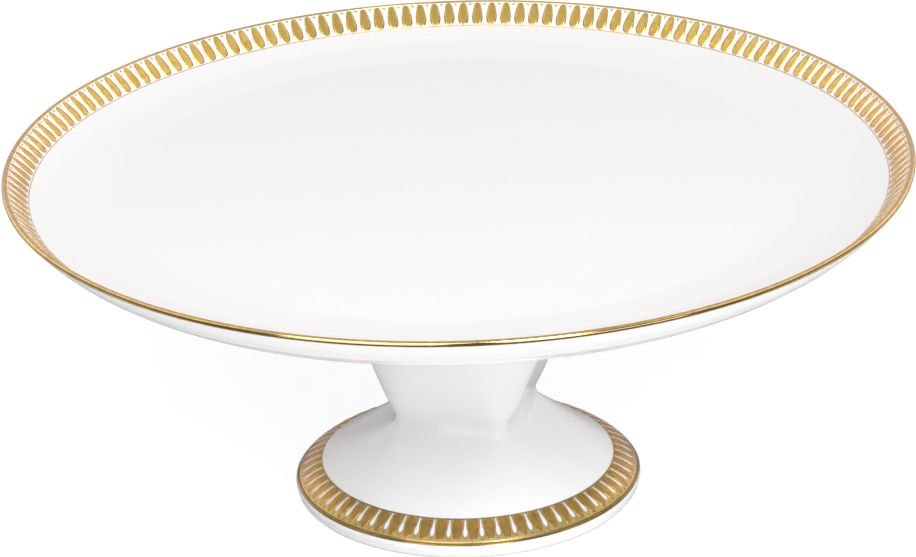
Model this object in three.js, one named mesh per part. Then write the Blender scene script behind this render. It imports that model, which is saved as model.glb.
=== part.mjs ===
/**
 * Footed cake stand in gilded porcelain.
 *
 * A wide round plate sits on a hollow pedestal. The pedestal is round under the plate, drawn in to a
 * square waist, and round again at the foot. A threaded rod down the middle clamps the two together:
 * it screws into a brass insert under the plate and carries washers and a nut under the waist.
 *
 * Millimetres, +Z up. The origin is on the table, on the plate's axis. The flat sides of the waist
 * face +X, -X, +Y and -Y.
 */
import * as THREE from "three";

// ---- Driving dimensions ------------------------------------------------------------------------

const STAND_HEIGHT = 124;
const JOINT_GAP = 0.3; // air between pieces that bear on each other

const PLATE_SEGMENTS = 96;
const PEDESTAL_SEGMENTS = 80; // a multiple of 8, so that every corner and every side has a vertex
const HARDWARE_SEGMENTS = 40;

const PLATE = {
  radius: 155,
  lipRadius: 1.1, // rounding of the gilded edge
  flangeFoot: { r: 146.1, z: STAND_HEIGHT - 7.1 }, // where the steep flange meets the shoulder
  wellRadius: 122, // flat seat for the cake
  wellTop: STAND_HEIGHT - 9.8,
  underside: STAND_HEIGHT - 15,
  shoulderSag: 1, // how far the underside drops towards the shoulder
  flangeDepth: 3.4, // upright depth of the porcelain at the flange's foot
};

const BOSS = { radius: 18, depth: 6, chamfer: 1, boreRadius: 7.4, boreDepth: 8 };

const PEDESTAL = {
  top: PLATE.underside - 1.8,
  topRadius: 49.5,
  waistHeight: 30.5,
  waistHalfWidth: 19,
  waistCornerRadius: 1.5,
  shoulderRadius: 51, // where the flare turns into the foot's gilded band
  shoulderHeight: 11.2,
  footRadius: 60.5,
  wall: 4,
  cavityCorner: 3, // least rounding inside the upper cavity
};

// How fast the square section grows and how late its corners turn round, as powers of the way from
// the waist to the end of each flare. The upper flare grows evenly.
const UPPER_FLARE = { growth: 1.0, rounding: 1.55, steps: 9 };
const LOWER_FLARE = { growth: 1.25, rounding: 1.6, steps: 7 };

const WEB = { top: 32.5, bottom: 23.5, holeRadius: 4.7, seatRadius: 13 };

const ROD_RADIUS = 3.9; // M8
const INSERT = { outer: 7.0, inner: 4.2 };
const SEAL = { inner: 43, outer: 48.5 };
const CUSHION = { inner: 4.7, outer: 12, thickness: 1.5 };
const LOAD_WASHER = { inner: 4.3, outer: 11.2, thickness: 1.6 };
const SPRING_WASHER = { inner: 4.2, outer: 7.2, thickness: 2.0, slit: 0.14 };
const NUT = { acrossFlats: 13, height: 6.5, bore: 4.2 };
const ROD_TAIL = 2.7; // rod left showing below the nut

// ---- Finishes ----------------------------------------------------------------------------------

const FINISH = {
  porcelain: { color: "#f4f3ef", roughness: 0.08, metalness: 0.0 },
  brass: { color: "#b08d3c", roughness: 0.35, metalness: 1.0 },
  zincSteel: { color: "#b9bcc0", roughness: 0.35, metalness: 1.0 },
  silicone: { color: "#d9d9d4", roughness: 0.6, metalness: 0.0 },
  rubber: { color: "#2b2b2b", roughness: 0.8, metalness: 0.0 },
};

/** A named mesh with a material of its own. */
function piece(name, geometry, finish) {
  const mesh = new THREE.Mesh(geometry, new THREE.MeshStandardMaterial({ ...finish }));
  mesh.name = name;
  return mesh;
}

// ---- Shape helpers -----------------------------------------------------------------------------

/** Points of an arc in the radius-height plane, from one angle to another, in degrees. */
function arc(centreR, centreZ, radius, fromDeg, toDeg, steps) {
  const points = [];
  for (let i = 0; i <= steps; i += 1) {
    const angle = THREE.MathUtils.degToRad(fromDeg + ((toDeg - fromDeg) * i) / steps);
    points.push([centreR + radius * Math.cos(angle), centreZ + radius * Math.sin(angle)]);
  }
  return points;
}

/** A solid of revolution about Z from [radius, height] points, listed anticlockwise. */
function turned(outline, segments = HARDWARE_SEGMENTS) {
  const points = outline.map(([r, z]) => new THREE.Vector2(r, z));
  return new THREE.LatheGeometry(points, segments).rotateX(Math.PI / 2);
}

/** A flat ring between two radii, its outline closed on itself. */
function flatRing(inner, outer, bottom, top) {
  return turned([[inner, bottom], [outer, bottom], [outer, top], [inner, top], [inner, bottom]]);
}

/**
 * Distance from the axis to the edge of a square with rounded corners, in one direction.
 * A corner radius equal to the half width makes a circle.
 */
function roundedSquareReach(halfWidth, cornerRadius, angle) {
  const quarter = Math.PI / 2;
  const fromSide = Math.abs(angle - quarter * Math.round(angle / quarter));
  const cornerCentre = halfWidth - cornerRadius;
  if (halfWidth * Math.tan(fromSide) <= cornerCentre) {
    return halfWidth / Math.cos(fromSide);
  }
  const diagonal = cornerCentre * Math.SQRT2;
  const fromCorner = fromSide - Math.PI / 4;
  const across = diagonal * Math.sin(fromCorner);
  return diagonal * Math.cos(fromCorner) + Math.sqrt(cornerRadius ** 2 - across ** 2);
}

/** A solid whose skin runs through a closed list of level sections, each with its own corners. */
function loftedRing(sections, segments) {
  const positions = [];
  for (const { z, halfWidth, corner } of sections) {
    for (let i = 0; i < segments; i += 1) {
      const angle = (2 * Math.PI * i) / segments;
      const reach = roundedSquareReach(halfWidth, corner, angle);
      positions.push(reach * Math.cos(angle), reach * Math.sin(angle), z);
    }
  }
  const indices = [];
  for (let s = 0; s < sections.length; s += 1) {
    const here = s * segments;
    const next = ((s + 1) % sections.length) * segments;
    for (let i = 0; i < segments; i += 1) {
      const j = (i + 1) % segments;
      indices.push(here + i, here + j, next + j, here + i, next + j, next + i);
    }
  }
  const geometry = new THREE.BufferGeometry();
  geometry.setAttribute("position", new THREE.Float32BufferAttribute(positions, 3));
  geometry.setIndex(indices);
  geometry.computeVertexNormals();
  return geometry;
}

// ---- Plate -------------------------------------------------------------------------------------

/** The dish: flat seat, gently rising shoulder, steep flange, round lip, and boss underneath. */
function plate() {
  const { radius, lipRadius, flangeFoot, wellRadius, wellTop, underside, shoulderSag } = PLATE;
  const lipR = radius - lipRadius;
  const lipZ = STAND_HEIGHT - lipRadius;
  const flangeUnderZ = flangeFoot.z - PLATE.flangeDepth;
  const boreTop = underside - BOSS.depth + BOSS.boreDepth;
  const bossFoot = underside - BOSS.depth;
  return turned([
    [0, boreTop],
    [BOSS.boreRadius, boreTop],
    [BOSS.boreRadius, bossFoot],
    [BOSS.radius - BOSS.chamfer, bossFoot],
    [BOSS.radius, bossFoot + BOSS.chamfer],
    [BOSS.radius + BOSS.chamfer, underside],
    [wellRadius - 12, underside],
    [wellRadius + 8, underside - shoulderSag],
    [flangeFoot.r - 9.6, underside - shoulderSag + 0.1],
    [flangeFoot.r - 5, underside - shoulderSag + 2.1],
    [flangeFoot.r, flangeUnderZ],
    [(flangeFoot.r + lipR) / 2 + 0.6, (flangeUnderZ + lipZ) / 2 - 0.6],
    ...arc(lipR, lipZ, lipRadius, -30, 150, 6),
    [flangeFoot.r + 0.8, flangeFoot.z + 0.5],
    [flangeFoot.r - 0.8, flangeFoot.z - 0.2],
    [(flangeFoot.r + wellRadius) / 2, wellTop + 1.2],
    [wellRadius, wellTop],
    [0, wellTop],
  ], PLATE_SEGMENTS);
}

// ---- Pedestal ----------------------------------------------------------------------------------

/** Level section of a flare at a given way from the waist (0) to its round end (1). */
function flareSection(way, flare, endRadius, endHeight) {
  const { waistHeight, waistHalfWidth, waistCornerRadius } = PEDESTAL;
  return {
    z: THREE.MathUtils.lerp(waistHeight, endHeight, way),
    halfWidth: THREE.MathUtils.lerp(waistHalfWidth, endRadius, way ** flare.growth),
    corner: THREE.MathUtils.lerp(waistCornerRadius, endRadius, way ** flare.rounding),
  };
}

/** A round level section. */
function roundSection(radius, z) {
  return { z, halfWidth: radius, corner: radius };
}

/** Outer skin of the foot from the table up to the shoulder: rounded edge, then gilded band. */
function footSections() {
  const { footRadius, shoulderRadius, shoulderHeight } = PEDESTAL;
  return [
    roundSection(footRadius - 1.8, 0),
    roundSection(footRadius - 0.8, 1.0),
    roundSection(footRadius - 0.1, 3.2),
    roundSection(footRadius, 4.2),
    roundSection(footRadius - 0.4, 5.4),
    roundSection(footRadius - 1.6, 7.0),
    roundSection(footRadius - 5, 9.1),
    roundSection(shoulderRadius, shoulderHeight),
  ];
}

/** Outer skin from the shoulder in to the square waist and out again to the top. */
function stemSections() {
  const { shoulderRadius, shoulderHeight, topRadius, top } = PEDESTAL;
  const sections = [];
  for (let i = LOWER_FLARE.steps - 1; i >= 0; i -= 1) {
    const way = i / LOWER_FLARE.steps;
    sections.push(flareSection(way, LOWER_FLARE, shoulderRadius, shoulderHeight));
  }
  for (let i = 1; i <= UPPER_FLARE.steps; i += 1) {
    sections.push(flareSection(i / UPPER_FLARE.steps, UPPER_FLARE, topRadius, top));
  }
  return sections;
}

/** Skin of the cavity above the web, from the top lip down, one wall inside the outer skin. */
function upperCavitySections() {
  const { top, topRadius, waistHeight, wall, cavityCorner } = PEDESTAL;
  const sections = [];
  const floorWay = (WEB.top - waistHeight) / (top - waistHeight);
  const steps = 5;
  for (let i = steps; i >= 0; i -= 1) {
    const way = THREE.MathUtils.lerp(floorWay, 1, i / steps);
    const outer = flareSection(way, UPPER_FLARE, topRadius, top);
    const halfWidth = outer.halfWidth - wall;
    sections.push({
      z: outer.z,
      halfWidth,
      corner: Math.min(Math.max(outer.corner - wall, cavityCorner), halfWidth),
    });
  }
  return sections;
}

/** Skin of the hollow under the foot, from the web's underside out to the ring that it stands on. */
function footHollowSections() {
  return [
    roundSection(WEB.seatRadius, WEB.bottom),
    roundSection(20, 21.4),
    roundSection(27, 17.4),
    roundSection(36, 12.4),
    roundSection(46, 7.6),
    roundSection(53, 3.8),
    roundSection(55.2, 1.6),
    roundSection(55.6, 0),
  ];
}

/** The hollow pedestal, with the web across its waist and the bolt hole through the web. */
function pedestal() {
  return loftedRing([
    ...footSections(),
    ...stemSections(),
    ...upperCavitySections(),
    roundSection(WEB.holeRadius, WEB.top),
    roundSection(WEB.holeRadius, WEB.bottom),
    ...footHollowSections(),
  ], PEDESTAL_SEGMENTS);
}

// ---- Joint hardware ----------------------------------------------------------------------------

/** Soft ring between the pedestal's top lip and the underside of the plate. */
function sealRing() {
  return flatRing(SEAL.inner, SEAL.outer, PEDESTAL.top + JOINT_GAP, PLATE.underside - JOINT_GAP);
}

/** Brass bush bonded into the boss; the rod screws into it. */
function threadedInsert() {
  const bottom = PLATE.underside - BOSS.depth;
  return flatRing(INSERT.inner, INSERT.outer, bottom, bottom + BOSS.boreDepth - JOINT_GAP);
}

/** Rod from the insert down through the web, with chamfered ends. */
function tieRod(bottom) {
  const chamfer = 0.8;
  const top = PLATE.underside - BOSS.depth + BOSS.boreDepth - 2 * JOINT_GAP;
  return turned([
    [0, bottom],
    [ROD_RADIUS - chamfer, bottom],
    [ROD_RADIUS, bottom + chamfer],
    [ROD_RADIUS, top - chamfer],
    [ROD_RADIUS - chamfer, top],
    [0, top],
  ]);
}

/** Split ring, flattened by the nut as it is when the stand is assembled. */
function springWasher(bottom) {
  const { inner, outer, thickness, slit } = SPRING_WASHER;
  const shape = new THREE.Shape();
  shape.absarc(0, 0, outer, slit, 2 * Math.PI - slit, false);
  shape.absarc(0, 0, inner, 2 * Math.PI - slit, slit, true);
  shape.closePath();
  const options = { depth: thickness, bevelEnabled: false, curveSegments: HARDWARE_SEGMENTS };
  return new THREE.ExtrudeGeometry(shape, options).translate(0, 0, bottom);
}

/** Hexagon nut with a plain bore. */
function nut(bottom) {
  const cornerRadius = NUT.acrossFlats / Math.sqrt(3);
  const shape = new THREE.Shape();
  for (let i = 0; i < 6; i += 1) {
    const angle = (Math.PI / 3) * i;
    const corner = [cornerRadius * Math.cos(angle), cornerRadius * Math.sin(angle)];
    if (i === 0) shape.moveTo(...corner);
    else shape.lineTo(...corner);
  }
  shape.closePath();
  const bore = new THREE.Path();
  bore.absarc(0, 0, NUT.bore, 0, 2 * Math.PI, true);
  shape.holes.push(bore);
  const options = { depth: NUT.height, bevelEnabled: false, curveSegments: HARDWARE_SEGMENTS / 2 };
  return new THREE.ExtrudeGeometry(shape, options).translate(0, 0, bottom);
}

/** Everything on the rod below the web, stacked downwards with a gap between neighbours. */
function stackUnderWeb() {
  const cushionTop = WEB.bottom - JOINT_GAP;
  const loadTop = cushionTop - CUSHION.thickness - JOINT_GAP;
  const springTop = loadTop - LOAD_WASHER.thickness - JOINT_GAP;
  const nutTop = springTop - SPRING_WASHER.thickness - JOINT_GAP;
  const nutBottom = nutTop - NUT.height;
  return [
    piece(
      "cushion_washer",
      flatRing(CUSHION.inner, CUSHION.outer, cushionTop - CUSHION.thickness, cushionTop),
      FINISH.rubber,
    ),
    piece(
      "load_washer",
      flatRing(LOAD_WASHER.inner, LOAD_WASHER.outer, loadTop - LOAD_WASHER.thickness, loadTop),
      FINISH.zincSteel,
    ),
    piece("spring_washer", springWasher(springTop - SPRING_WASHER.thickness), FINISH.zincSteel),
    piece("nut", nut(nutBottom), FINISH.zincSteel),
    piece("tie_rod", tieRod(nutBottom - ROD_TAIL), FINISH.zincSteel),
  ];
}

// ---- Assembly ----------------------------------------------------------------------------------

const cakeStand = new THREE.Group();
cakeStand.add(
  piece("plate", plate(), FINISH.porcelain),
  piece("pedestal", pedestal(), FINISH.porcelain),
  piece("seal_ring", sealRing(), FINISH.silicone),
  piece("threaded_insert", threadedInsert(), FINISH.brass),
  ...stackUnderWeb(),
);

export default cakeStand;
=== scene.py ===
"""Footed cake stand in gilded porcelain, dressed for the studio.

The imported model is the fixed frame: every size and place comes from it. The plate and the pedestal
are remade as fine glazed skins, the gilding is laid on them as thin raised gold, and the hardware
under the waist gets its threads, chamfers and edges. Lengths are metres; MM turns millimetres.
"""

import logging
import math
from collections.abc import Callable, Iterable, Sequence
from dataclasses import dataclass, field
from enum import Enum

import bpy
from mathutils import Matrix, Vector


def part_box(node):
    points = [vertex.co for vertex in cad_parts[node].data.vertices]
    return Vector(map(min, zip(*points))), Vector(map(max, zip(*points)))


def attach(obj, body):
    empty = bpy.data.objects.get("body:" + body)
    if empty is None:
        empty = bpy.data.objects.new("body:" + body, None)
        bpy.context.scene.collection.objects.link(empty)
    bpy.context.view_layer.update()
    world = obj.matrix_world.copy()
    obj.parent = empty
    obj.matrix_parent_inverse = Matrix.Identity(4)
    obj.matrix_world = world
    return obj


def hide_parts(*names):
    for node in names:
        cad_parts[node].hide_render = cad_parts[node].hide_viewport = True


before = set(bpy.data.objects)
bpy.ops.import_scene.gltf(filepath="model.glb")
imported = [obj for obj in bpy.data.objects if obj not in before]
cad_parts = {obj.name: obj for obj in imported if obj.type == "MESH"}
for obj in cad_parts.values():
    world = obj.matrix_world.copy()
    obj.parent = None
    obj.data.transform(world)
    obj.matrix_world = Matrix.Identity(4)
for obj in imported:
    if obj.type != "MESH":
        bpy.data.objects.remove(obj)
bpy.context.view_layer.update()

MM = 0.001
ROOT = "root"
LOG = logging.getLogger("cake_stand")

Point = tuple[float, float]


# ---- Small tools -------------------------------------------------------------------------------


def linear(hex_colour: str) -> tuple[float, float, float, float]:
    """Turn an sRGB hex colour into linear light.

    Args:
        hex_colour: Six hex digits after a hash.

    Returns:
        Red, green and blue in linear light, and a full alpha.
    """
    channels = []
    for start in (1, 3, 5):
        value = int(hex_colour[start:start + 2], 16) / 255
        channels.append(value / 12.92 if value <= 0.04045 else ((value + 0.055) / 1.055) ** 2.4)
    return (*channels, 1.0)


def node(tree: bpy.types.NodeTree, kind: str, inputs: dict | None = None, **settings) -> bpy.types.Node:
    """Add a node, with its settings, values and links.

    Args:
        tree: Tree that gets the node.
        kind: The node's type identifier.
        inputs: Socket name or index to a value, or to an output socket that is linked to it.
        **settings: Attributes set on the node before its inputs.

    Returns:
        The new node.
    """
    made = tree.nodes.new(kind)
    for name, value in settings.items():
        setattr(made, name, value)
    for key, value in (inputs or {}).items():
        if isinstance(value, bpy.types.NodeSocket):
            tree.links.new(value, made.inputs[key])
        else:
            made.inputs[key].default_value = value
    return made


def sum_of(tree: bpy.types.NodeTree, operation: str, *terms: object) -> bpy.types.NodeSocket:
    """Result of one sum on up to three values or sockets."""
    return node(tree, "ShaderNodeMath", dict(enumerate(terms)), operation=operation).outputs[0]


def mix(a: float, b: float, way: float) -> float:
    """Blend from a (way 0) to b (way 1)."""
    return a + (b - a) * way


def mesh_object(name: str, points: Sequence, faces: Sequence, finish: bpy.types.Material) -> bpy.types.Object:
    """Make a smooth-shaded object whose place is in its mesh.

    Args:
        name: Name of the object and its mesh.
        points: Corners, in metres.
        faces: Corner numbers of each face, anticlockwise seen from outside.
        finish: Material of the whole mesh.

    Returns:
        The new object, linked to the scene.
    """
    mesh = bpy.data.meshes.new(name)
    mesh.from_pydata([tuple(p) for p in points], [], faces)
    mesh.validate()
    mesh.polygons.foreach_set("use_smooth", [True] * len(mesh.polygons))
    mesh.materials.append(finish)
    made = bpy.data.objects.new(name, mesh)
    bpy.context.scene.collection.objects.link(made)
    return made


def report(piece: bpy.types.Object, slot: str, *stands_for: str) -> bpy.types.Object:
    """Fix a finished piece to the stand, hide the CAD nodes that it stands for, and log it.

    Args:
        piece: The finished object.
        slot: Name of a material slot, written only to the log.
        *stands_for: CAD nodes that it replaces, if any.

    Returns:
        The same object.
    """
    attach(piece, ROOT)
    if stands_for:
        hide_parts(*stands_for)
    LOG.info("%s: %d faces, slot %s", piece.name, len(piece.data.polygons), slot)
    return piece


# ---- Outlines ----------------------------------------------------------------------------------


def rounded(corners: Sequence[tuple[float, float, float]], steps: int = 8) -> list[Point]:
    """Round the corners of an outline.

    Args:
        corners: Radius, height and rounding of each corner.
        steps: Straight pieces in each rounded corner.

    Returns:
        Radius and height of each point of the rounded outline.
    """
    points: list[Point] = []
    for i, (r, z, rounding) in enumerate(corners):
        here = Vector((r, z))
        if rounding == 0 or i in (0, len(corners) - 1):
            points.append((r, z))
            continue
        back = Vector(corners[i - 1][:2]) - here
        ahead = Vector(corners[i + 1][:2]) - here
        opening = back.angle(ahead)
        reach = min(rounding / math.tan(opening / 2), 0.48 * back.length, 0.48 * ahead.length)
        start = here + back.normalized() * reach
        end = here + ahead.normalized() * reach
        for k in range(steps + 1):
            way = k / steps
            blend = (1 - way) ** 2 * start + 2 * way * (1 - way) * here + way**2 * end
            points.append((blend.x, blend.y))
    return points


def arc(centre: Point, radius: float, start: float, end: float, steps: int) -> list[Point]:
    """Points of an arc in the radius-height plane.

    Args:
        centre: Radius and height of its centre.
        radius: Its radius.
        start: First angle in degrees, anticlockwise from outwards.
        end: Last angle in degrees.
        steps: Straight pieces.

    Returns:
        Radius and height of each point.
    """
    angles = [math.radians(mix(start, end, k / steps)) for k in range(steps + 1)]
    return [(centre[0] + radius * math.cos(a), centre[1] + radius * math.sin(a)) for a in angles]


@dataclass(frozen=True)
class Meridian:
    """A curve on a round surface, from its inner edge to its outer edge, as a quadratic Bezier."""

    inner: Point
    middle: Point
    outer: Point

    def at(self, way: float) -> Vector:
        """Radius and height at a way from 0 to 1 along the curve."""
        a, b, c = (Vector(p) for p in (self.inner, self.middle, self.outer))
        return (1 - way) ** 2 * a + 2 * way * (1 - way) * b + way**2 * c

    def normal(self, way: float) -> Vector:
        """Unit direction off the surface, on its gilded side."""
        a, b, c = (Vector(p) for p in (self.inner, self.middle, self.outer))
        along = ((1 - way) * (b - a) + way * (c - b)).normalized()
        return Vector((-along.y, along.x))

    def strip(self, start: float, end: float, lift: float, sink: float, steps: int) -> list[Point]:
        """Closed outline of a thin coat on the surface.

        Args:
            start: Way where the coat begins.
            end: Way where it ends.
            lift: How far it stands off the surface.
            sink: How far its hidden face is under the surface.
            steps: Straight pieces along it.

        Returns:
            Radius and height of each point, anticlockwise round the solid.
        """
        ways = [mix(start, end, k / steps) for k in range(steps + 1)]
        top = [self.at(w) + self.normal(w) * lift for w in ways]
        under = [self.at(w) - self.normal(w) * sink for w in ways]
        return [tuple(p) for p in under + top[::-1]]


def turned(name: str, outline: Sequence[Point], segments: int,
           finish: bpy.types.Material) -> bpy.types.Object:
    """Turn an outline round the upright axis.

    Args:
        name: Name of the piece.
        outline: Radius and height of each point, anticlockwise round the solid. An outline that
            starts and ends on the axis makes a solid without a bore; any other closes on itself.
        segments: Faces round the piece.
        finish: Material.

    Returns:
        The new piece.
    """
    on_axis = outline[0][0] < 1e-9 and outline[-1][0] < 1e-9
    points: list[Point | tuple] = []
    rings: list[list[int]] = []
    for r, z in outline:
        start = len(points)
        if r < 1e-9:
            points.append((0.0, 0.0, z))
            rings.append([start] * segments)
            continue
        turns = [2 * math.pi * i / segments for i in range(segments)]
        points.extend((r * math.cos(t), r * math.sin(t), z) for t in turns)
        rings.append(list(range(start, start + segments)))
    pairs = list(zip(rings, rings[1:]))
    if not on_axis:
        pairs.append((rings[-1], rings[0]))
    faces = []
    for low, high in pairs:
        for i in range(segments):
            j = (i + 1) % segments
            corners = [low[i], low[j], high[j], high[i]]
            faces.append(tuple(dict.fromkeys(corners)))
    return mesh_object(name, points, [f for f in faces if len(f) > 2], finish)


def lofted(name: str, sections: Sequence[tuple[float, Callable[[float], float]]], segments: int,
           finish: bpy.types.Material) -> bpy.types.Object:
    """Skin a closed run of level sections, last joined to first.

    Args:
        name: Name of the piece.
        sections: Height of each section, and its reach from the axis as a function of angle.
        segments: Faces round the piece.
        finish: Material.

    Returns:
        The new piece.
    """
    points = []
    for z, reach in sections:
        for i in range(segments):
            angle = 2 * math.pi * i / segments
            far = reach(angle)
            points.append((far * math.cos(angle), far * math.sin(angle), z))
    faces = []
    for s in range(len(sections)):
        here, there = s * segments, (s + 1) % len(sections) * segments
        for i in range(segments):
            j = (i + 1) % segments
            faces.append((here + i, here + j, there + j, there + i))
    return mesh_object(name, points, faces, finish)


# ---- Finishes ----------------------------------------------------------------------------------


@dataclass(frozen=True)
class Finish:
    """What every finish has: a maker's name, a body colour, roughness and metalness."""

    name: str
    colour: str
    roughness: float
    metallic: float = 0.0

    def start(self, **sockets: float | tuple) -> tuple[bpy.types.Material, bpy.types.Node]:
        """Make the material and set what is even all over it.

        Args:
            **sockets: Further inputs of the surface shader, with underscores for spaces.

        Returns:
            The material and its surface shader.
        """
        material = bpy.data.materials.new(self.name)
        material.use_nodes = True
        shader = material.node_tree.nodes["Principled BSDF"]
        shader.inputs["Base Color"].default_value = linear(self.colour)
        shader.inputs["Roughness"].default_value = self.roughness
        shader.inputs["Metallic"].default_value = self.metallic
        for key, value in sockets.items():
            shader.inputs[key.replace("_", " ")].default_value = value
        material.diffuse_color = linear(self.colour)
        return material, shader

    def grain(self, tree: bpy.types.NodeTree, spacing: float, detail: float) -> bpy.types.NodeSocket:
        """Noise all through the piece, held to its own metres.

        Args:
            tree: The material's node tree.
            spacing: Millimetres between its features.
            detail: How many finer layers it has.

        Returns:
            The noise, from 0 to 1.
        """
        place = node(tree, "ShaderNodeTexCoord").outputs["Object"]
        noise = node(tree, "ShaderNodeTexNoise", {
            "Vector": place, "Scale": 1 / (spacing * MM), "Detail": detail,
        })
        return noise.outputs["Fac"]

    def emboss(self, shader: bpy.types.Node, height: bpy.types.NodeSocket,
               strength: float, depth: float) -> None:
        """Give the surface a fine relief.

        Args:
            shader: The surface shader.
            height: The relief's height, from 0 to 1.
            strength: How much of it shows.
            depth: Its full depth in millimetres.
        """
        bump = node(shader.id_data, "ShaderNodeBump", {
            "Height": height, "Strength": strength, "Distance": depth * MM,
        })
        shader.id_data.links.new(bump.outputs["Normal"], shader.inputs["Normal"])

    def shade(self, shader: bpy.types.Node, noise: bpy.types.NodeSocket,
              low: tuple[float, str], high: tuple[float, str]) -> None:
        """Let the body colour drift with a noise.

        Args:
            shader: The surface shader.
            noise: The noise.
            low: Noise value and hex colour where the drift starts.
            high: Noise value and hex colour where it ends.
        """
        ramp = node(shader.id_data, "ShaderNodeValToRGB", {"Fac": noise})
        for element, (position, colour) in zip(ramp.color_ramp.elements, (low, high)):
            element.position = position
            element.color = linear(colour)
        shader.id_data.links.new(ramp.outputs["Color"], shader.inputs["Base Color"])

    def soften(self, shader: bpy.types.Node, noise: bpy.types.NodeSocket, **limits: float) -> None:
        """Let the roughness drift with a noise.

        Args:
            shader: The surface shader.
            noise: The noise.
            **limits: The range node's inputs, with underscores for spaces.
        """
        values = {key.replace("_", " "): value for key, value in limits.items()}
        rough = node(shader.id_data, "ShaderNodeMapRange", {"Value": noise, **values})
        shader.id_data.links.new(rough.outputs["Result"], shader.inputs["Roughness"])


@dataclass(frozen=True)
class GlazedPorcelain(Finish):
    """Clear glaze fired on white porcelain: wet-looking gloss over a milky, neutral white body."""

    ripple: float = 14.0  # millimetres between the glaze's slow waves
    speck: float = 1.4  # millimetres between possible specks
    tint: str = "#F3F3F4"  # colour of the specks

    def build(self) -> bpy.types.Material:
        """Make the glaze, with slow ripples in its gloss and hardly visible specks.

        Returns:
            The material.
        """
        material, shader = self.start(
            IOR=1.5, Subsurface_Weight=0.12, Subsurface_Scale=2.5 * MM,
            Subsurface_Radius=(1.0, 1.0, 1.0),
        )
        wave = self.grain(material.node_tree, self.ripple, 1.5)
        fine = self.grain(material.node_tree, self.speck, 3.0)
        self.emboss(shader, wave, 0.06, 0.3)
        self.shade(shader, fine, (0.25, self.tint), (0.48, self.colour))
        self.soften(shader, wave, To_Min=self.roughness * 0.8, To_Max=self.roughness * 1.3)
        return material


@dataclass(frozen=True)
class BareBisque(Finish):
    """The ring that stood on the kiln shelf: no glaze, dry and chalky, with a fine grit."""

    grit: float = 0.5  # millimetres

    def build(self) -> bpy.types.Material:
        """Make the bisque with its grit.

        Returns:
            The material.
        """
        material, shader = self.start()
        self.emboss(shader, self.grain(material.node_tree, self.grit, 4.0), 0.4, 0.08)
        return material


@dataclass(frozen=True)
class Gilding(Finish):
    """Fired gold on glaze: metal that takes the room's light, cloudier where it was rubbed less."""

    worn: str = "#B99A54"  # colour of the cloudier patches
    cloud: float = 2.4  # millimetres across a burnishing patch
    brush: float = 0.6  # millimetres between brush marks
    haze: float = 0.12  # how much rougher the cloudy patches are
    relief: float = 0.05  # strength of the brushed unevenness

    def build(self) -> bpy.types.Material:
        """Make the gold with its burnishing clouds and fine brush marks.

        Returns:
            The material.
        """
        material, shader = self.start()
        patches = self.grain(material.node_tree, self.cloud, 3.0)
        self.shade(shader, patches, (0.35, self.worn), (0.6, self.colour))
        self.soften(
            shader, patches, From_Min=0.3, From_Max=0.7,
            To_Min=self.roughness + self.haze, To_Max=self.roughness,
        )
        self.emboss(shader, self.grain(material.node_tree, self.brush, 2.0), self.relief, 0.1)
        return material


@dataclass(frozen=True)
class PlatedMetal(Finish):
    """Machined metal with a thin plating: even satin with faint turning marks."""

    mark: float = 0.4  # millimetres between turning marks

    def build(self) -> bpy.types.Material:
        """Make the metal with its turning marks.

        Returns:
            The material.
        """
        material, shader = self.start()
        marks = self.grain(material.node_tree, self.mark, 2.0)
        self.soften(shader, marks, To_Min=self.roughness * 0.75, To_Max=self.roughness * 1.25)
        return material


@dataclass(frozen=True)
class MouldedRubber(Finish):
    """Moulded rubber or silicone: soft, dull, with a fine bloom on its skin."""

    bloom: float = 1.2  # millimetres

    def build(self) -> bpy.types.Material:
        """Make the rubber with its bloom.

        Returns:
            The material.
        """
        material, shader = self.start(Sheen_Weight=0.1)
        self.emboss(shader, self.grain(material.node_tree, self.bloom, 3.0), 0.2, 0.05)
        return material


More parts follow.
